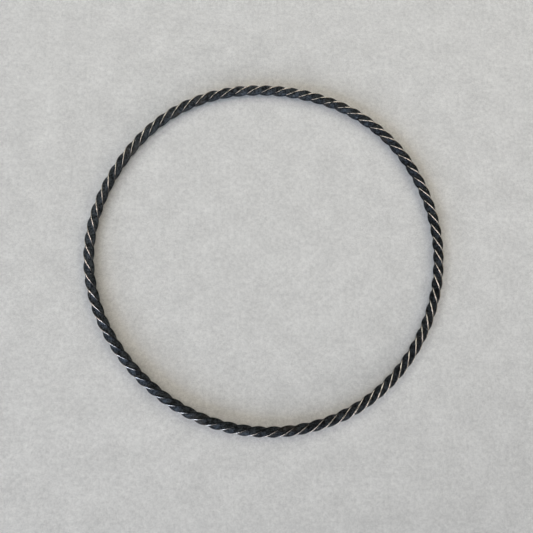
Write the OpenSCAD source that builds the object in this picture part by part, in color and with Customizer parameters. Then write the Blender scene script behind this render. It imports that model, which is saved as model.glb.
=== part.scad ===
// Twisted wire bangle: one length of square wire, twisted about its own axis,
// bent round into a ring and soldered end to end. It lies flat, +Z up.

/* [Ring] */
// Diameter of the wrist opening, between the innermost edges of the wire
inside_d = 63.5; // [50:0.5:80]
// How far the hand-bent ring strays from a true circle at its largest wave
out_of_round = 0.16; // [0:0.01:0.4]

/* [Wire] */
// Side of the square wire
wire_side = 1.5; // [1:0.1:3]
// Width of the bright rubbed flat along each of the four long edges
edge_rub = 0.14; // [0.06:0.01:0.3]

/* [Twist] */
// Quarter turns of the wire on its way round the ring, each one lobe of the outline
quarter_turns = 78; // [60:1:96]
// Which way the wire is twisted
twist_hand = "left"; // [left, right]
// Where one edge of the wire points at +X, in degrees from straight up towards the outside
first_edge = 66; // [0:1:89]
// How far the hand-made twist runs ahead or lags at its largest wave, in degrees
twist_drift = 28; // [0:1:40]

/* [Hidden] */
// The one piece

// Oxidised silver, almost black
wire_colour = [0.17, 0.18, 0.2];

// Columns of the two wave tables: waves in one turn of the ring, height as a share of the
// largest wave, and the bearing of the first crest in degrees from +X towards +Y
waves = 0;
share = 1;
crest = 2;

// Waves of the radius: the ring as bent by hand, with its tightest bend at +X
bend_waves = [
    [2, 0.55, 4],
    [3, 1, 46],
    [4, 0.6, 24],
    [5, 0.65, -27],
    [6, 0.45, 0],
];

// Waves of the twist: where the turns are a little tighter or looser than the mean
twist_waves = [
    [1, 1, -140],
    [2, 0.41, -4],
    [3, 0.19, -50],
    [5, 0.1, -11],
];

// Sections of wire in each quarter turn
steps_per_quarter = 6;
// Edges of a square wire, and the angle of a full turn, from edge to edge and edge to mid face
edges = 4;
full_turn = 360;
quarter = full_turn / edges;
to_face = quarter / 2;

// The square section: half its side, and what the rubbed flat takes off along a side
half_side = wire_side / 2;
rub_leg = edge_rub / sqrt(2);
// The two ends of a rubbed flat, as a distance from the axis and an angle off the edge
rub_reach = norm([half_side, half_side - rub_leg]);
rub_angle = to_face - atan((half_side - rub_leg) / half_side);
// How far an edge stands from the wire's axis
edge_reach = sqrt(2) * half_side - rub_leg / sqrt(2);
// Radius of the ring along the wire's axis
ring_r = inside_d / 2 + edge_reach;

// Columns of one section point: distance from the wire's axis, angle round it
reach = 0;
angle = 1;
// Section points of one quarter: both ends of a rubbed flat, then the middle of a face
quarter_points = [
    [rub_reach, -rub_angle],
    [rub_reach, rub_angle],
    [half_side, to_face],
];
points_per_quarter = len(quarter_points);
section = [
    for (corner = [0 : edges - 1])
        for (point = quarter_points)
            [point[reach], point[angle] + corner * quarter]
];
section_count = len(section);
ring_count = quarter_turns * steps_per_quarter;

// Left-handed wire turns backwards about its axis as the bearing grows
hand = twist_hand == "left" ? -1 : 1;

// Sum of a table's waves at one bearing, and the slope of that sum per radian
function wave_sum(table, bearing) =
    [for (row = table) row[share] * cos(row[waves] * (bearing - row[crest]))]
        * [for (row = table) 1];
function wave_slope(table, bearing) =
    [for (row = table) -row[share] * row[waves] * sin(row[waves] * (bearing - row[crest]))]
        * [for (row = table) 1];

// Radius of the wire's axis at a bearing, and the bearing its outer side faces there
function axis_r(bearing) = ring_r + out_of_round * wave_sum(bend_waves, bearing);
function outward(bearing) =
    bearing - atan(out_of_round * wave_slope(bend_waves, bearing) / axis_r(bearing));

// Angle of the first edge at a bearing, from straight up towards the outside
function edge_angle(bearing) =
    first_edge
    + hand * bearing * quarter_turns / edges
    + twist_drift * wave_sum(twist_waves, bearing);

// One section point in space
function wire_point(bearing, point) =
    let (
        side = outward(bearing),
        turn = edge_angle(bearing) + point[angle],
        out = point[reach] * sin(turn),
        up = point[reach] * cos(turn)
    )
    [
        axis_r(bearing) * cos(bearing) + out * cos(side),
        axis_r(bearing) * sin(bearing) + out * sin(side),
        up
    ];

wire_points = [
    for (ring = [0 : ring_count - 1])
        for (point = section)
            wire_point(full_turn * ring / ring_count, point)
];

// The last section meets the first after its quarter turns, so it starts that many corners on
closing_shift = hand * (quarter_turns % edges) * points_per_quarter;

// Number of a section point, counted round the section, on a ring or past the last ring
function point_id(ring, count) =
    let (
        past = ring == ring_count,
        moved = past ? count + closing_shift : count
    )
    (past ? 0 : ring) * section_count + (moved + 2 * section_count) % section_count;

// Two triangles for each patch of the wire's skin
wire_faces = [
    for (ring = [0 : ring_count - 1])
        for (count = [0 : section_count - 1])
            let (
                near_a = point_id(ring, count),
                near_b = point_id(ring, count + 1),
                far_a = point_id(ring + 1, count),
                far_b = point_id(ring + 1, count + 1)
            )
            each [[near_a, near_b, far_b], [near_a, far_b, far_a]]
];

// Middle of the ring's own box across, and its lowest point, so that it lies centred at z 0
function axis_values(axis) = [for (point = wire_points) point[axis]];
function box_middle(axis) = (min(axis_values(axis)) + max(axis_values(axis))) / 2;
ring_offset = [-box_middle(0), -box_middle(1), -min(axis_values(2))];

// The whole bangle: the twisted square wire as one closed ring
module twisted_wire() {
    color(wire_colour)
        translate(ring_offset)
            polyhedron(points = wire_points, faces = wire_faces, convexity = 8);
}

twisted_wire();
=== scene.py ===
"""Dresses the twisted wire bangle: blackened silver wire with its edges rubbed bright."""

import math

import bmesh
import bpy
from bpy.props import FloatProperty, FloatVectorProperty, IntProperty, PointerProperty
from mathutils import Matrix, Vector


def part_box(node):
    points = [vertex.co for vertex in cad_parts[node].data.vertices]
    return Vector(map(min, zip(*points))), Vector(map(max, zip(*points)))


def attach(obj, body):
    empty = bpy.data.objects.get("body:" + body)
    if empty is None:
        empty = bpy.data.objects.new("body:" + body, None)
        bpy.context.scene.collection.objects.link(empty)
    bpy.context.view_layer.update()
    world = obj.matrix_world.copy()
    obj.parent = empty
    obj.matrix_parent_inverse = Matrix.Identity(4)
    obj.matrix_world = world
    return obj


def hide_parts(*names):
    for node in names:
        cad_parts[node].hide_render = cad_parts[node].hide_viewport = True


bl_info = {
    "name": "Twisted Wire Bangle",
    "version": (1, 0, 0),
    "blender": (4, 5, 0),
    "location": "3D View > Sidebar > Bangle",
    "description": "Builds a bangle of twisted square wire, its blackened finish and its studio",
    "category": "Object",
}

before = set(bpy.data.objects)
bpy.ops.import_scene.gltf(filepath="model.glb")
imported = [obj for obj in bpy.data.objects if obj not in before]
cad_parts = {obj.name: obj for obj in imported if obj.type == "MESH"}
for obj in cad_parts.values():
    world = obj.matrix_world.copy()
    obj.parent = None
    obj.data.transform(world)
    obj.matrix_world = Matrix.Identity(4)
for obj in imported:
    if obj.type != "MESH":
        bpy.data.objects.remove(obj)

CAD_WIRE = "twisted_wire"
WIRE_LOW, WIRE_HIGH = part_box(CAD_WIRE)
# The wire's four edges stand this far from its axis
EDGE_REACH = (WIRE_HIGH.z - WIRE_LOW.z) / 2

# Waves of the ring's radius and of its twist: waves in one turn of the ring, share of the
# largest wave, bearing of the first crest in degrees
BEND_WAVES = ((2, 0.55, 4), (3, 1, 46), (4, 0.6, 24), (5, 0.65, -27), (6, 0.45, 0))
TWIST_WAVES = ((1, 1, -140), (2, 0.41, -4), (3, 0.19, -50), (5, 0.1, -11))
# Waves of the rubbing cloth: how far out on the wire it stopped, and how hard it pressed
STOP_WAVES = ((1, 0.27, -131), (2, 0.26, 60), (3, 0.14, -116))
PRESS_WAVES = ((1, 0.32, 38), (2, 0.1, -13), (3, 0.1, -40))
# Waves of painted light on the black: how much paler or darker its colour is made round the ring,
# painted sheen on one side and painted shade on the other
PAINTED_LIGHT_WAVES = ((1, 0.28, 160),)

# The studio's soft lights: colour, share of the light on the paper in percent, bearing and
# height above the paper in degrees, width and height as seen from the bangle in degrees,
# and distance in metres
SOFT_LIGHTS = {
    "window": ((0.64, 0.78, 1.0), 35, -128, 25, 50, 28, 3.0),
    "low_wall": ((1.0, 0.97, 0.96), 17, -78, 13, 90, 18, 2.5),
    "side_wall": ((1.0, 0.92, 0.86), 13, 175, 41, 28, 22, 1.2),
    "bright_wall": ((1.0, 0.96, 0.84), 24, 46, 41, 70, 28, 0.5),
    "bulb": ((1.0, 0.91, 0.83), 9, 45, 66, 20, 20, 0.6),
    "ceiling": ((0.98, 1.0, 0.88), 10, 124, 41, 36, 24, 0.5),
    "lamp": ((1.0, 0.94, 0.92), 12, -178, 72, 22, 22, 0.5),
    "warm_corner": ((1.0, 0.85, 0.6), 4, -30, 36, 40, 20, 1.5),
}

# The paper's radius, and where it starts and ends fading away, in metres from the middle
PAPER_RADIUS = 0.32
PAPER_FADE = (0.14, 0.3)
# The way to the sheet's near right corner, and where the shade painted into the paper's colour
# starts and ends on that way
PAINTED_SHADE_WAY = (0.45, -0.89, 0.0)
PAINTED_SHADE_REACH = (0.015, 0.075)
# What the camera looks at, the nearest thing it sees, and its sensor's width in millimetres
CAMERA_AIM = (-0.00018, -0.00258, 0.00099)
CLIP_START = 0.005
SENSOR_WIDTH = 36.0
# The light from all round, what stands behind the paper, and the brownish bloom on the black
ROOM_COLOUR = (0.95, 0.97, 1.0, 1.0)
BACKDROP_COLOUR = (0.57, 0.57, 0.56, 1.0)
BROWN_BLOOM = (0.075, 0.062, 0.05, 1.0)
# Points of the swept wire nearer to each other than this are one point
MERGE_DISTANCE = 0.00001
# How much the fine swells of the metal add to the broad ones, and the mean of both together
FINE_SHARE = 0.35
MEAN_SWELL = (1 + FINE_SHARE) / 2

# The noise patterns: how many to the metre, detail and roughness
PATTERNS = {
    # The metal's shape
    "broad_swell": (700.0, 1.0, 0.5),
    "fine_swell": (3200.0, 2.0, 0.5),
    # Where the rub wanders and frays, and what the cloth left grey
    "wander": (650.0, 2.0, 0.6),
    "crumbs": (14000.0, 3.0, 0.65),
    "smudge": (2600.0, 3.0, 0.7),
    # The unevenness of the black, from the largest to the finest
    "brown": (240.0, 2.0, 0.5),
    "cloud": (380.0, 4.0, 0.65),
    "patch": (1500.0, 3.0, 0.6),
    "mottle": (3600.0, 4.0, 0.75),
    # The paper
    "pulp": (200.0, 3.0, 0.6),
    "grain": (1250.0, 5.0, 1.0),
}


# ---------------------------------------------------------------- node helpers


def new_tree(name, kind, inputs, outputs):
    """An empty node group with its named inputs and outputs."""
    tree = bpy.data.node_groups.new(name, kind)
    for label, socket, default in inputs:
        made = tree.interface.new_socket(label, in_out="INPUT", socket_type=socket)
        if default is not None:
            made.default_value = default
    for label, socket in outputs:
        tree.interface.new_socket(label, in_out="OUTPUT", socket_type=socket)
    return tree, tree.nodes.new("NodeGroupInput").outputs


def plug(tree, socket, value):
    """Links a socket, or sets it where the value is plain."""
    if isinstance(value, bpy.types.NodeSocket):
        tree.links.new(value, socket)
    elif value is not None:
        socket.default_value = value


def add(tree, kind, *values, named=None, **settings):
    """A node with its settings, and with its inputs filled in order or, from named, by name."""
    node = tree.nodes.new(kind)
    for key, value in settings.items():
        setattr(node, key, value)
    for socket, value in zip(node.inputs, values):
        plug(tree, socket, value)
    for label, value in (named or {}).items():
        plug(tree, node.inputs[label], value)
    return node


def maths(tree, operation, *values):
    """The result of a Math node."""
    return add(tree, "ShaderNodeMath", *values, operation=operation).outputs[0]


def plus(tree, first, second):
    """The sum of two values."""
    return maths(tree, "ADD", first, second)


def minus(tree, first, second):
    """The first value less the second."""
    return maths(tree, "SUBTRACT", first, second)


def times(tree, first, second):
    """The product of two values."""
    return maths(tree, "MULTIPLY", first, second)


def times_plus(tree, first, second, third):
    """The product of two values, with a third added."""
    return maths(tree, "MULTIPLY_ADD", first, second, third)


def vector_maths(tree, operation, *values):
    """The result of a Vector Math node."""
    node = add(tree, "ShaderNodeVectorMath", *values, operation=operation)
    return node.outputs["Value" if operation in ("LENGTH", "DOT_PRODUCT") else "Vector"]


def scaled(tree, vector, factor):
    """A vector or colour times a plain value."""
    node = add(tree, "ShaderNodeVectorMath", vector, operation="SCALE", named={"Scale": factor})
    return node.outputs["Vector"]


def combine(tree, x=0.0, y=0.0, z=0.0):
    """A vector of three values."""
    return add(tree, "ShaderNodeCombineXYZ", x, y, z).outputs[0]


def ramp(tree, value, low, high, to_low=0.0, to_high=1.0):
    """A value eased from one range to another."""
    ends = (value, low, high, to_low, to_high)
    return add(tree, "ShaderNodeMapRange", *ends, interpolation_type="SMOOTHSTEP").outputs[0]


def mixed(tree, share, first, second, data_type="RGBA"):
    """A colour or value mixed from two."""
    node = add(tree, "ShaderNodeMix", share, data_type=data_type)
    slot, result = {"FLOAT": (2, 0), "RGBA": (6, 2)}[data_type]
    plug(tree, node.inputs[slot], first)
    plug(tree, node.inputs[slot + 1], second)
    return node.outputs[result]


def opaque(colour, strength=1.0):
    """A property's colour in four parts, as a colour socket takes it."""
    return tuple(strength * part for part in colour) + (1.0,)


def noise(tree, place, scale, detail, roughness):
    """The value of a noise pattern."""
    node = add(
        tree, "ShaderNodeTexNoise",
        named={"Vector": place, "Scale": scale, "Detail": detail, "Roughness": roughness},
    )
    return node.outputs[0]


def stretched(tree, place, scale):
    """A place with its axes scaled, so that a pattern on it is drawn out."""
    return add(tree, "ShaderNodeMapping", named={"Vector": place, "Scale": scale}).outputs[0]


def relief(tree, strength, distance, height):
    """A normal bent by a height."""
    named = {"Strength": strength, "Distance": distance, "Height": height}
    return add(tree, "ShaderNodeBump", named=named).outputs[0]


def attribute(tree, name, output="Fac"):
    """The value of a named attribute of the mesh, in a shader."""
    return add(tree, "ShaderNodeAttribute", attribute_name=name).outputs[output]


def stored(tree, geometry, name, value, data_type="FLOAT", domain="POINT"):
    """The geometry with a value kept on it under a name."""
    node = add(
        tree, "GeometryNodeStoreNamedAttribute", data_type=data_type, domain=domain,
        named={"Geometry": geometry, "Name": name, "Value": value},
    )
    return node.outputs[0]


def recalled(tree, name, data_type="FLOAT"):
    """A value that was kept on the geometry under a name."""
    node = add(
        tree, "GeometryNodeInputNamedAttribute", data_type=data_type, named={"Name": name}
    )
    return node.outputs[0]


def moved(tree, geometry, offset):
    """The geometry with its points moved."""
    named = {"Geometry": geometry, "Offset": offset}
    return add(tree, "GeometryNodeSetPosition", named=named).outputs[0]


def emptied(owner):
    """The node tree of a new material or world, with nothing in it yet."""
    owner.use_nodes = True
    owner.node_tree.nodes.clear()
    return owner.node_tree


def lay_out(tree, step_x=190, step_y=170):
    """Sets the nodes out from left to right by how much stands before them."""
    depth = {}

    def depth_of(node):
        if node not in depth:
            depth[node] = 0
            feeds = [link.from_node for socket in node.inputs for link in socket.links]
            depth[node] = 1 + max(map(depth_of, feeds), default=-1)
        return depth[node]

    rows = {}
    for node in tree.nodes:
        column = depth_of(node)
        node.location = (column * step_x, -rows.get(column, 0) * step_y)
        rows[column] = rows.get(column, 0) + 1


# ---------------------------------------------------------------- the wire's shape


def hand_wave_group():
    """One wave of the maker's hand round the ring: share x cos(waves x (bearing - crest))."""
    tree, given = new_tree(
        "Hand Wave", "GeometryNodeTree",
        [
            ("Bearing", "NodeSocketFloat", None),
            ("Waves", "NodeSocketFloat", 1.0),
            ("Share", "NodeSocketFloat", 1.0),
            ("Crest", "NodeSocketFloat", 0.0),
        ],
        [("Height", "NodeSocketFloat")],
    )
    off_crest = minus(tree, given["Bearing"], given["Crest"])
    turned = maths(tree, "COSINE", times(tree, given["Waves"], off_crest))
    add(tree, "NodeGroupOutput", times(tree, given["Share"], turned))
    lay_out(tree)
    return tree


def wave_sum(tree, wave_group, table, bearing):
    """The waves of one table added up at each bearing."""
    total = None
    for waves, share, crest in table:
        node = add(
            tree, "GeometryNodeGroup", node_tree=wave_group,
            named={
                "Bearing": bearing, "Waves": waves, "Share": share, "Crest": math.radians(crest),
            },
        )
        node.label = f"{waves} waves"
        total = node.outputs[0] if total is None else plus(tree, total, node.outputs[0])
    return total


def wire_section_group():
    """The square section of the wire with its edges rubbed flat, first edge along +X."""
    tree, given = new_tree(
        "Wire Section", "GeometryNodeTree",
        [
            ("Side", "NodeSocketFloat", 0.0015),
            ("Edge Reach", "NodeSocketFloat", 0.001),
            ("Softening", "NodeSocketFloat", 0.0001),
            ("Rub Steps", "NodeSocketInt", 2),
            ("Corner Steps", "NodeSocketInt", 3),
            ("Face Steps", "NodeSocketInt", 6),
        ],
        [("Section", "NodeSocketGeometry")],
    )
    half = times(tree, given["Side"], 0.5)
    radius = given["Softening"]
    # The rub takes each edge down to its reach, and its two borders are softened
    rub_half = minus(tree, times(tree, half, math.sqrt(2)), given["Edge Reach"])
    # A softened border starts this far before the corner that it rounds
    setback = times(tree, radius, math.tan(math.pi / 8))
    rub_flat = minus(tree, rub_half, setback)
    face_half = minus(tree, minus(tree, half, times(tree, rub_half, math.sqrt(2))), setback)
    face_flat = times(tree, face_half, 2.0)

    both_corners = times(tree, given["Corner Steps"], 2.0)
    per_quarter = plus(tree, plus(tree, both_corners, given["Rub Steps"]), given["Face Steps"])
    ring = add(
        tree, "GeometryNodeCurvePrimitiveCircle",
        named={"Resolution": times(tree, per_quarter, 4.0), "Radius": 1.0},
    )
    index = add(tree, "GeometryNodeInputIndex").outputs[0]
    quarter = maths(tree, "FLOOR", maths(tree, "DIVIDE", plus(tree, index, 0.5), per_quarter))
    step = minus(tree, index, times(tree, quarter, per_quarter))

    def travelled(start, count):
        """Share of one stretch of the quarter that lies behind this point."""
        past = maths(tree, "DIVIDE", minus(tree, step, start), count)
        return maths(tree, "MINIMUM", maths(tree, "MAXIMUM", past, 0.0), 1.0)

    first_end = given["Corner Steps"]
    rub_end = plus(tree, first_end, given["Rub Steps"])
    first_corner = travelled(0.0, given["Corner Steps"])
    over_rub = travelled(first_end, given["Rub Steps"])
    second_corner = travelled(rub_end, given["Corner Steps"])
    over_face = travelled(plus(tree, rub_end, given["Corner Steps"]), given["Face Steps"])

    corners = plus(tree, first_corner, second_corner)
    turn = times(tree, minus(tree, corners, 1.0), math.pi / 4)
    across = times(tree, rub_flat, times_plus(tree, over_rub, 2.0, -1.0))
    along_face = times(tree, face_flat, over_face)
    slant = math.sqrt(0.5)
    x = minus(tree, given["Edge Reach"], radius)
    x = times_plus(tree, radius, maths(tree, "COSINE", turn), x)
    x = times_plus(tree, along_face, -slant, x)
    y = times_plus(tree, radius, maths(tree, "SINE", turn), across)
    y = times_plus(tree, along_face, slant, y)
    placed = add(
        tree, "ShaderNodeVectorRotate", rotation_type="Z_AXIS",
        named={"Vector": combine(tree, x, y), "Angle": times(tree, quarter, math.pi / 2)},
    )
    shaped = add(
        tree, "GeometryNodeSetPosition",
        named={"Geometry": ring.outputs["Curve"], "Position": placed.outputs[0]},
    )

    # Distance from the middle of the nearest edge, measured over the skin
    turned, crossed = (maths(tree, "ABSOLUTE", value) for value in (turn, across))
    on_corner = times_plus(tree, radius, turned, crossed)
    nearest = maths(tree, "MINIMUM", over_face, minus(tree, 1.0, over_face))
    from_edge = times_plus(tree, face_flat, nearest, on_corner)
    marked = stored(tree, shaped.outputs[0], "from_edge", from_edge)
    here = add(tree, "GeometryNodeInputPosition").outputs[0]
    placed_skin = stored(tree, marked, "section_place", here, "FLOAT_VECTOR")
    add(tree, "NodeGroupOutput", placed_skin)
    lay_out(tree)
    return tree


def twisted_wire_tree():
    """The whole wire: a ring with the maker's waves, swept by the twisting section."""
    tree, given = new_tree(
        "Twisted Wire", "GeometryNodeTree",
        [
            ("Ring Radius", "NodeSocketFloat", 0.0327),
            ("Out of Round", "NodeSocketFloat", 0.00016),
            ("Side", "NodeSocketFloat", 0.0015),
            ("Edge Reach", "NodeSocketFloat", 0.001),
            ("Quarter Turns", "NodeSocketInt", 78),
            ("Steps in a Quarter", "NodeSocketInt", 14),
            ("First Edge", "NodeSocketFloat", 0.0),
            ("Twist Drift", "NodeSocketFloat", 0.0),
            ("Hand", "NodeSocketFloat", -1.0),
            ("Unevenness", "NodeSocketFloat", 0.000006),
            ("Box Middle", "NodeSocketVector", None),
            ("Finish", "NodeSocketMaterial", None),
        ],
        [("Wire", "NodeSocketGeometry")],
    )
    wave_group = hand_wave_group()
    steps = times(tree, given["Quarter Turns"], given["Steps in a Quarter"])
    path = add(
        tree, "GeometryNodeCurveArc", mode="RADIUS",
        named={
            "Resolution": plus(tree, steps, 1.0),
            "Radius": given["Ring Radius"],
            "Start Angle": 0.0,
            "Sweep Angle": math.tau,
        },
    )
    index = add(tree, "GeometryNodeInputIndex").outputs[0]
    bearing_now = times(tree, maths(tree, "DIVIDE", index, steps), math.tau)
    marked = stored(tree, path.outputs["Curve"], "bearing", bearing_now)
    bearing = recalled(tree, "bearing")

    # The ring as bent by hand
    outward = combine(tree, maths(tree, "COSINE", bearing), maths(tree, "SINE", bearing))
    bend = times(tree, given["Out of Round"], wave_sum(tree, wave_group, BEND_WAVES, bearing))
    bent = moved(tree, marked, scaled(tree, outward, bend))

    # The first edge turns round the wire, from straight up towards the outside
    quarters_done = maths(tree, "DIVIDE", times(tree, bearing, given["Quarter Turns"]), 4.0)
    even = times(tree, given["Hand"], quarters_done)
    drift = times(tree, given["Twist Drift"], wave_sum(tree, wave_group, TWIST_WAVES, bearing))
    edge_angle = plus(tree, plus(tree, even, drift), given["First Edge"])
    tangent = add(tree, "GeometryNodeInputTangent").outputs[0]
    side = vector_maths(tree, "CROSS_PRODUCT", tangent, (0.0, 0.0, 1.0))
    edge_side = scaled(tree, side, maths(tree, "SINE", edge_angle))
    edge_up = combine(tree, z=maths(tree, "COSINE", edge_angle))
    aimed = add(
        tree, "GeometryNodeSetCurveNormal", mode="FREE",
        named={"Curve": bent, "Normal": vector_maths(tree, "ADD", edge_side, edge_up)},
    )
    section = add(
        tree, "GeometryNodeGroup", node_tree=wire_section_group(),
        named={"Side": given["Side"], "Edge Reach": given["Edge Reach"]},
    )
    swept = add(
        tree, "GeometryNodeCurveToMesh",
        named={"Curve": aimed.outputs[0], "Profile Curve": section.outputs[0]},
    )

    # Each corner of a face keeps its own place along the wire, also where the ring closes
    along = combine(tree, z=times(tree, bearing, given["Ring Radius"]))
    place = vector_maths(tree, "ADD", recalled(tree, "section_place", "FLOAT_VECTOR"), along)
    skin = stored(tree, swept.outputs[0], "wire_place", place, "FLOAT_VECTOR", "CORNER")
    faces = add(tree, "GeometryNodeInputNormal").outputs[0]
    kept = {
        # 1 where the skin faces away from the ring's middle, -1 where it faces the wrist
        "faces_out": vector_maths(tree, "DOT_PRODUCT", faces, outward),
        "rub_stop": wave_sum(tree, wave_group, STOP_WAVES, bearing),
        "rub_press": wave_sum(tree, wave_group, PRESS_WAVES, bearing),
        # Painted light on the black round the ring: paler where the faces should look lit, darker
        # where shaded
        "painted_light_on_black": wave_sum(tree, wave_group, PAINTED_LIGHT_WAVES, bearing),
    }
    for name, value in kept.items():
        skin = stored(tree, skin, name, value)
    closed = add(
        tree, "GeometryNodeMergeByDistance",
        named={"Geometry": skin, "Distance": MERGE_DISTANCE},
    )

    # Slight unevenness of the drawn and handled metal
    here = add(tree, "GeometryNodeInputPosition").outputs[0]
    broad = noise(tree, here, *PATTERNS["broad_swell"])
    fine = noise(tree, here, *PATTERNS["fine_swell"])
    swell = minus(tree, plus(tree, broad, times(tree, fine, FINE_SHARE)), MEAN_SWELL)
    normal = add(tree, "GeometryNodeInputNormal").outputs[0]
    push = times(tree, swell, given["Unevenness"])
    worked = moved(tree, closed.outputs[0], scaled(tree, normal, push))

    # The ring's own box stands where the frame's does
    box = add(tree, "GeometryNodeBoundBox", worked).outputs
    middle = scaled(tree, vector_maths(tree, "ADD", box["Min"], box["Max"]), 0.5)
    seated = moved(tree, worked, vector_maths(tree, "SUBTRACT", given["Box Middle"], middle))
    smooth = add(
        tree, "GeometryNodeSetShadeSmooth", named={"Geometry": seated, "Shade Smooth": True}
    )
    realised = add(tree, "GeometryNodeRealizeInstances", smooth.outputs[0])
    finished = add(
        tree, "GeometryNodeSetMaterial",
        named={"Geometry": realised.outputs[0], "Material": given["Finish"]},
    )
    add(tree, "NodeGroupOutput", finished.outputs[0])
    lay_out(tree)
    return tree


def plain_mesh(name, tree, values):
    """The tree's result as a plain mesh object."""
    carrier = bpy.data.objects.new(name, bpy.data.meshes.new(name))
    bpy.context.collection.objects.link(carrier)
    modifier = carrier.modifiers.new(tree.name, "NODES")
    modifier.node_group = tree
    sockets = {s.name: s.identifier for s in tree.interface.items_tree if s.in_out == "INPUT"}
    for label, value in values.items():
        modifier[sockets[label]] = value
    view = bpy.context.evaluated_depsgraph_get()
    made = bpy.data.meshes.new_from_object(carrier.evaluated_get(view))
    carrier.modifiers.remove(modifier)
    spare = carrier.data
    carrier.data = made
    bpy.data.meshes.remove(spare)
    made.name = name
    return carrier


# ---------------------------------------------------------------- the finish


def rubbed_edge_group():
    """Where the edges are rubbed bright: a line of wandering width with a ragged border."""
    tree, given = new_tree(
        "Rubbed Edge", "ShaderNodeTree",
        [
            ("Place", "NodeSocketVector", None),
            ("From Edge", "NodeSocketFloat", 0.0),
            ("Width", "NodeSocketFloat", 0.00018),
            ("Faces Out", "NodeSocketFloat", 1.0),
            ("Stop", "NodeSocketFloat", 0.0),
            ("Press", "NodeSocketFloat", 0.0),
            ("Wander", "NodeSocketFloat", 0.35),
            ("Raggedness", "NodeSocketFloat", 0.00003),
        ],
        [("Rub", "NodeSocketFloat"), ("Fullness", "NodeSocketFloat")],
    )
    slow = noise(tree, given["Place"], *PATTERNS["wander"])
    wander = times(tree, given["Wander"], minus(tree, times(tree, slow, 4.0), 2.0))
    half = times(tree, given["Width"], times_plus(tree, given["Press"], 0.3, 0.5))
    # The line thins out towards the side next to the wrist, which stays black
    past_stop = minus(tree, given["Faces Out"], given["Stop"])
    past_stop = times_plus(tree, slow, 0.3, past_stop)
    fullness = ramp(tree, past_stop, -0.35, -0.02)
    half = times(tree, half, times_plus(tree, fullness, 0.65, 0.35))
    reach = times(tree, half, maths(tree, "MAXIMUM", plus(tree, 1.0, wander), 0.15))
    reached = ramp(tree, past_stop, -0.45, -0.2)
    along = stretched(tree, given["Place"], (1.0, 1.0, 0.35))
    crumbs = minus(tree, noise(tree, along, *PATTERNS["crumbs"]), 0.5)
    frayed = times_plus(tree, crumbs, times(tree, given["Raggedness"], 4.0), given["From Edge"])
    worn = ramp(tree, frayed, times(tree, reach, 0.6), times(tree, reach, 1.35), 1.0, 0.0)
    add(tree, "NodeGroupOutput", times(tree, worn, reached), fullness)
    lay_out(tree)
    return tree


def draw_line_group():
    """Fine lines left by the draw plate, which follow the wire's twist."""
    tree, given = new_tree(
        "Draw Lines", "ShaderNodeTree",
        [("Place", "NodeSocketVector", None), ("Fineness", "NodeSocketFloat", 15000.0)],
        [("Lines", "NodeSocketFloat")],
    )
    drawn = stretched(tree, given["Place"], (1.0, 1.0, 0.035))
    add(tree, "NodeGroupOutput", noise(tree, drawn, given["Fineness"], 3.0, 0.6))
    lay_out(tree)
    return tree


def nick_group():
    """Small nicks and short scratches from wear, each at its own slant."""
    tree, given = new_tree(
        "Nicks", "ShaderNodeTree",
        [
            ("Place", "NodeSocketVector", None),
            ("Closeness", "NodeSocketFloat", 1800.0),
            ("Share", "NodeSocketFloat", 0.3),
        ],
        [("Nick", "NodeSocketFloat")],
    )
    bent = add(
        tree, "ShaderNodeVectorRotate", rotation_type="EULER_XYZ",
        named={"Vector": given["Place"], "Rotation": (0.5, 0.9, 0.35)},
    ).outputs[0]
    slim = stretched(tree, bent, (1.0, 0.22, 1.0))
    cells = add(tree, "ShaderNodeTexVoronoi", named={"Vector": slim, "Scale": given["Closeness"]})
    pick = add(tree, "ShaderNodeSeparateColor", cells.outputs["Color"]).outputs[0]
    chosen = maths(tree, "LESS_THAN", pick, given["Share"])
    mark = ramp(tree, cells.outputs["Distance"], 0.05, 0.13, 1.0, 0.0)
    add(tree, "NodeGroupOutput", times(tree, mark, chosen))
    lay_out(tree)
    return tree


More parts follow.
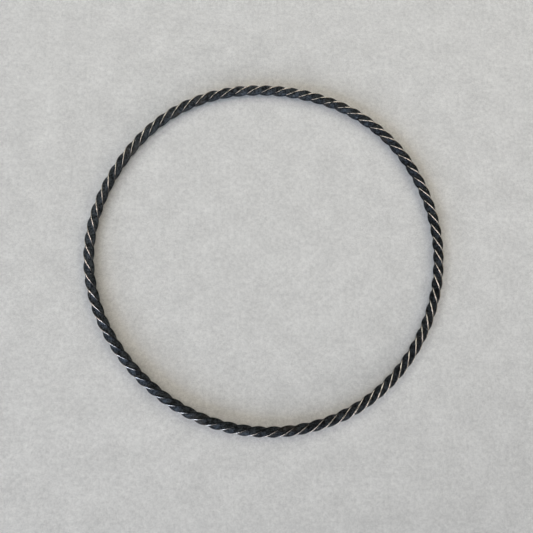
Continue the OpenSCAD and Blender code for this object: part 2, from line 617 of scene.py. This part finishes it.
def blackened_silver(settings):
    """Silver blackened all over, then rubbed bright along its four edges."""
    material = bpy.data.materials.new("Blackened Silver")
    tree = emptied(material)
    place = attribute(tree, "wire_place", "Vector")
    from_edge = attribute(tree, "from_edge")
    here = add(tree, "ShaderNodeTexCoord").outputs["Object"]
    press = attribute(tree, "rub_press")

    rubbed = add(
        tree, "ShaderNodeGroup", node_tree=rubbed_edge_group(),
        named={
            "Place": place,
            "From Edge": from_edge,
            "Width": settings.rub_width,
            "Raggedness": 0.00002,
            "Faces Out": attribute(tree, "faces_out"),
            "Stop": attribute(tree, "rub_stop"),
            "Press": press,
        },
    )
    on_wire = {"Place": place}
    lines = add(tree, "ShaderNodeGroup", node_tree=draw_line_group(), named=on_wire).outputs[0]
    nicks = add(tree, "ShaderNodeGroup", node_tree=nick_group(), named=on_wire).outputs[0]
    bright = maths(tree, "MAXIMUM", rubbed.outputs["Rub"], times(tree, nicks, 0.55))

    # The black is thicker in some places than in others, bluish where it is thin
    cloud = noise(tree, here, *PATTERNS["cloud"])
    mottle = noise(tree, here, *PATTERNS["mottle"])
    patch = noise(tree, here, *PATTERNS["patch"])
    thin = plus(tree, times(tree, cloud, 0.4), times(tree, patch, 0.6))
    thin = ramp(tree, times_plus(tree, mottle, 1.5, thin), 1.08, 1.46)
    black = mixed(tree, thin, opaque(settings.black_low), opaque(settings.black_high))
    brown = ramp(tree, noise(tree, here, *PATTERNS["brown"]), 0.52, 0.72, 0.0, 0.5)
    black = mixed(tree, brown, black, BROWN_BLOOM)
    # Where the cloth pressed less, the silver stays greyer
    smudge = noise(tree, here, *PATTERNS["smudge"])
    pressed = plus(tree, press, rubbed.outputs["Fullness"])
    polish = ramp(tree, times_plus(tree, smudge, 0.8, pressed), 0.3, 1.5)
    silver = mixed(tree, polish, opaque(settings.silver, 0.2), opaque(settings.silver))
    # The black is deepest in a narrow band beside the rubbed line
    deep = ramp(tree, from_edge, 0.00012, 0.00032, 0.5, 1.0)
    # Painted light: the black is made paler on one side of the ring and darker on the other, a
    # painted sheen and shade
    deep = times(tree, deep, plus(tree, attribute(tree, "painted_light_on_black"), 1.02))
    black = scaled(tree, black, deep)
    colour = mixed(tree, bright, black, silver)

    dull, polished = settings.black_roughness, settings.silver_roughness
    rough_black = ramp(tree, mottle, 0.25, 0.75, dull - 0.07, dull + 0.07)
    rough_silver = ramp(tree, lines, 0.3, 0.7, polished - 0.05, polished + 0.07)
    rough_silver = times_plus(tree, polish, -0.2, plus(tree, rough_silver, 0.2))
    rough = mixed(tree, bright, rough_black, rough_silver, "FLOAT")

    height = times_plus(tree, mottle, 0.6, lines)
    height = times_plus(tree, nicks, -1.2, height)
    shader = add(
        tree, "ShaderNodeBsdfPrincipled",
        named={
            "Base Color": colour,
            "Roughness": rough,
            "Metallic": 1.0,
            "Normal": relief(tree, 0.5, 0.000006, height),
        },
    )
    add(tree, "ShaderNodeOutputMaterial", shader.outputs[0])
    lay_out(tree)
    return material


def pale_paper(settings):
    """Matt pale paper with a soft mottled grain, darkened by painted shade towards its near right
    corner; it fades out far from the bangle.
    """
    material = bpy.data.materials.new("Pale Paper")
    tree = emptied(material)
    here = add(tree, "ShaderNodeTexCoord").outputs["Object"]
    grain = noise(tree, here, *PATTERNS["grain"])
    pulp = noise(tree, here, *PATTERNS["pulp"])
    tone = ramp(tree, times_plus(tree, pulp, 0.24, grain), 0.3, 0.94, 0.72, 1.28)
    # Painted shade: the paper's colour is darkened towards the sheet's near right corner, where
    # less light falls
    to_painted_shade = vector_maths(tree, "DOT_PRODUCT", here, PAINTED_SHADE_WAY)
    tone = times(tree, tone, ramp(tree, to_painted_shade, *PAINTED_SHADE_REACH, 1.0, 0.9))
    colour = scaled(tree, tuple(settings.paper), tone)
    shader = add(
        tree, "ShaderNodeBsdfPrincipled",
        named={
            "Base Color": colour,
            "Roughness": 0.95,
            "Specular IOR Level": 0.1,
            "Normal": relief(tree, 0.3, 0.00004, grain),
        },
    )
    far = ramp(tree, vector_maths(tree, "LENGTH", here), *PAPER_FADE)
    clear = add(tree, "ShaderNodeBsdfTransparent")
    faded = add(tree, "ShaderNodeMixShader", far, shader.outputs[0], clear.outputs[0])
    add(tree, "ShaderNodeOutputMaterial", faded.outputs[0])
    lay_out(tree)
    return material


# ---------------------------------------------------------------- settings


class WireSettings(bpy.types.PropertyGroup):
    """Sizes of the twisted wire."""

    inside_diameter: FloatProperty(
        name="Wrist Opening",
        description="Across the opening, between the innermost edges of the wire",
        default=0.0635, min=0.05, max=0.08, unit="LENGTH",
    )
    side: FloatProperty(
        name="Wire Side",
        description="Side of the square wire",
        default=0.0015, min=0.001, max=0.003, unit="LENGTH",
    )
    quarter_turns: IntProperty(
        name="Quarter Turns",
        description="Quarter turns of the wire round the ring, each one lobe of the outline",
        default=78, min=60, max=96,
    )
    hand: IntProperty(
        name="Hand",
        description="-1 for a left-handed twist, 1 for a right-handed one",
        default=-1, min=-1, max=1,
    )
    first_edge: FloatProperty(
        name="First Edge",
        description="Where one edge points at +X, from straight up towards the outside",
        default=math.radians(66), subtype="ANGLE",
    )
    twist_drift: FloatProperty(
        name="Twist Drift",
        description="How far the twist runs ahead or lags at its largest wave",
        default=math.radians(28), subtype="ANGLE",
    )
    out_of_round: FloatProperty(
        name="Out of Round",
        description="How far the ring strays from a circle at its largest wave",
        default=0.00016, min=0.0, max=0.0004, unit="LENGTH",
    )
    unevenness: FloatProperty(
        name="Unevenness",
        description="Height of the small swells of the metal",
        default=0.000012, min=0.0, max=0.00005, unit="LENGTH",
    )


class FinishSettings(bpy.types.PropertyGroup):
    """Colours and wear of the blackened silver."""

    black_low: FloatVectorProperty(
        name="Black",
        description="Darkest colour of the blackened faces",
        subtype="COLOR", default=(0.011, 0.012, 0.0132), min=0.0, max=1.0,
    )
    black_high: FloatVectorProperty(
        name="Black Bloom",
        description="Lightest colour of the blackened faces",
        subtype="COLOR", default=(0.08, 0.093, 0.107), min=0.0, max=1.0,
    )
    silver: FloatVectorProperty(
        name="Rubbed Silver",
        description="Colour of the rubbed edges",
        subtype="COLOR", default=(0.98, 0.92, 0.87), min=0.0, max=1.0,
    )
    rub_width: FloatProperty(
        name="Rub Width",
        description="Width of the bright line along each edge",
        default=0.00023, min=0.0, max=0.0005, unit="LENGTH",
    )
    black_roughness: FloatProperty(
        name="Black Roughness",
        description="Roughness of the blackened faces",
        default=0.62, min=0.0, max=1.0,
    )
    silver_roughness: FloatProperty(
        name="Rubbed Roughness",
        description="Roughness of the rubbed edges",
        default=0.14, min=0.0, max=1.0,
    )


class StudioSettings(bpy.types.PropertyGroup):
    """The paper, the light on it and the camera."""

    paper: FloatVectorProperty(
        name="Paper",
        description="Colour of the paper",
        subtype="COLOR",
        default=(0.809, 0.805, 0.784), min=0.0, max=1.0,
    )
    light: FloatProperty(
        name="Light",
        description="Light on the paper from the soft lights together, in watts a square metre",
        default=2.31, min=0.0,
    )
    room: FloatProperty(
        name="Room Light",
        description="Strength of the light from all round",
        default=0.015, min=0.0,
    )
    camera_distance: FloatProperty(
        name="Camera Distance",
        description="From the camera to the point it looks at",
        default=0.11116, min=0.05, unit="LENGTH",
    )
    camera_tilt: FloatProperty(
        name="Camera Tilt",
        description="How far the camera leans from straight above",
        default=math.radians(10.57), subtype="ANGLE",
    )
    camera_bearing: FloatProperty(
        name="Camera Bearing",
        description="The side that the camera leans to, from +X towards +Y",
        default=math.radians(-113.8), subtype="ANGLE",
    )
    lens: FloatProperty(
        name="Lens",
        description="Focal length on a 36 mm sensor, in millimetres",
        default=40.15, min=10.0,
    )


# ---------------------------------------------------------------- operators


class BANGLE_OT_twisted_wire(bpy.types.Operator):
    """Builds the twisted wire, with its blackened and rubbed finish"""

    bl_idname = "bangle.twisted_wire"
    bl_label = "Twisted Wire"
    bl_options = {"REGISTER", "UNDO"}

    def execute(self, context):
        wire = context.scene.bangle_wire
        finish = blackened_silver(context.scene.bangle_finish)
        piece = plain_mesh(
            "bangle_wire",
            twisted_wire_tree(),
            {
                "Ring Radius": wire.inside_diameter / 2 + EDGE_REACH,
                "Out of Round": wire.out_of_round,
                "Side": wire.side,
                "Edge Reach": EDGE_REACH,
                "Quarter Turns": wire.quarter_turns,
                "First Edge": wire.first_edge,
                "Twist Drift": wire.twist_drift,
                "Hand": float(wire.hand),
                "Unevenness": wire.unevenness,
                "Box Middle": (WIRE_LOW + WIRE_HIGH) / 2,
                "Finish": finish,
            },
        )
        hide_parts(CAD_WIRE)
        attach(piece, "root")
        return {"FINISHED"}


def direction(bearing, elevation):
    """The way out from the bangle at a bearing and a height above the paper, in radians."""
    level = math.cos(elevation)
    return Vector((math.cos(bearing) * level, math.sin(bearing) * level, math.sin(elevation)))


def soft_light(name, on_paper, colour, share, bearing, elevation, width, height, distance):
    """A soft rectangular light that looks at the bangle, and gives the paper its share of light."""
    light = bpy.data.lights.new(name, "AREA")
    light.shape = "RECTANGLE"
    light.size, light.size_y = (
        2 * distance * math.tan(math.radians(angle / 2)) for angle in (width, height)
    )
    light.color = colour
    bearing, elevation = math.radians(bearing), math.radians(elevation)
    light.energy = on_paper * share / 100 * math.pi * distance**2 / math.sin(elevation)
    holder = bpy.data.objects.new(name, light)
    back = direction(bearing, elevation)
    holder.location = back * distance
    holder.rotation_euler = back.to_track_quat("Z", "Y").to_euler()
    holder.visible_camera = False
    bpy.context.collection.objects.link(holder)


class BANGLE_OT_studio(bpy.types.Operator):
    """Sets out the paper, the lights and the camera"""

    bl_idname = "bangle.studio"
    bl_label = "Studio"
    bl_options = {"REGISTER", "UNDO"}

    def execute(self, context):
        studio = context.scene.bangle_studio
        self.lay_paper(studio)
        for name, settings in SOFT_LIGHTS.items():
            soft_light(name, studio.light, *settings)
        self.light_room(context.scene, studio)
        self.place_camera(context.scene, studio)
        context.scene.view_settings.view_transform = "Standard"
        return {"FINISHED"}

    def lay_paper(self, studio):
        """Lays the round sheet of paper under the bangle."""
        sheet = bmesh.new()
        bmesh.ops.create_circle(sheet, cap_ends=True, segments=96, radius=PAPER_RADIUS)
        mesh = bpy.data.meshes.new("paper")
        sheet.to_mesh(mesh)
        sheet.free()
        mesh.materials.append(pale_paper(studio))
        paper = bpy.data.objects.new("paper", mesh)
        bpy.context.collection.objects.link(paper)

    def light_room(self, scene, studio):
        """Sets the faint light from all round, and what stands behind the paper."""
        world = bpy.data.worlds.new("Room")
        tree = emptied(world)
        seen = add(tree, "ShaderNodeLightPath").outputs["Is Camera Ray"]
        room = add(tree, "ShaderNodeBackground", ROOM_COLOUR, studio.room)
        backdrop = add(tree, "ShaderNodeBackground", BACKDROP_COLOUR, 1.0)
        either = add(tree, "ShaderNodeMixShader", seen, room.outputs[0], backdrop.outputs[0])
        add(tree, "ShaderNodeOutputWorld", either.outputs[0])
        lay_out(tree)
        scene.world = world

    def place_camera(self, scene, studio):
        """Sets the camera above the bangle, leaning a little to the near side."""
        camera = bpy.data.cameras.new("camera")
        camera.sensor_width = SENSOR_WIDTH
        camera.lens = studio.lens
        camera.clip_start = CLIP_START
        back = direction(studio.camera_bearing, math.pi / 2 - studio.camera_tilt)
        right = (-back).cross(Vector((0.0, 1.0, 0.0))).normalized()
        up = right.cross(-back)
        place = Matrix.Translation(Vector(CAMERA_AIM) + back * studio.camera_distance)
        holder = bpy.data.objects.new("camera", camera)
        holder.matrix_world = place @ Matrix((right, up, back)).transposed().to_4x4()
        bpy.context.collection.objects.link(holder)
        scene.camera = holder


class BANGLE_PT_sidebar(bpy.types.Panel):
    """Lists the bangle's settings and the steps that build it"""

    bl_idname = "BANGLE_PT_sidebar"
    bl_label = "Twisted Wire Bangle"
    bl_space_type = "VIEW_3D"
    bl_region_type = "UI"
    bl_category = "Bangle"

    def draw(self, context):
        scene = context.scene
        for group in (scene.bangle_wire, scene.bangle_finish, scene.bangle_studio):
            box = self.layout.box()
            for name in group.__annotations__:
                box.prop(group, name)
        self.layout.operator(BANGLE_OT_twisted_wire.bl_idname)
        self.layout.operator(BANGLE_OT_studio.bl_idname)


CLASSES = (
    WireSettings,
    FinishSettings,
    StudioSettings,
    BANGLE_OT_twisted_wire,
    BANGLE_OT_studio,
    BANGLE_PT_sidebar,
)


def register():
    """Adds the settings, the operators and the panel to Blender."""
    for cls in CLASSES:
        bpy.utils.register_class(cls)
    bpy.types.Scene.bangle_wire = PointerProperty(type=WireSettings)
    bpy.types.Scene.bangle_finish = PointerProperty(type=FinishSettings)
    bpy.types.Scene.bangle_studio = PointerProperty(type=StudioSettings)


def unregister():
    """Takes them out again."""
    del bpy.types.Scene.bangle_studio
    del bpy.types.Scene.bangle_finish
    del bpy.types.Scene.bangle_wire
    for cls in reversed(CLASSES):
        bpy.utils.unregister_class(cls)


def build_bangle():
    """Builds the whole scene."""
    register()
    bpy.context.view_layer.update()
    bpy.ops.bangle.twisted_wire()
    bpy.ops.bangle.studio()


if __name__ == "__main__":
    build_bangle()
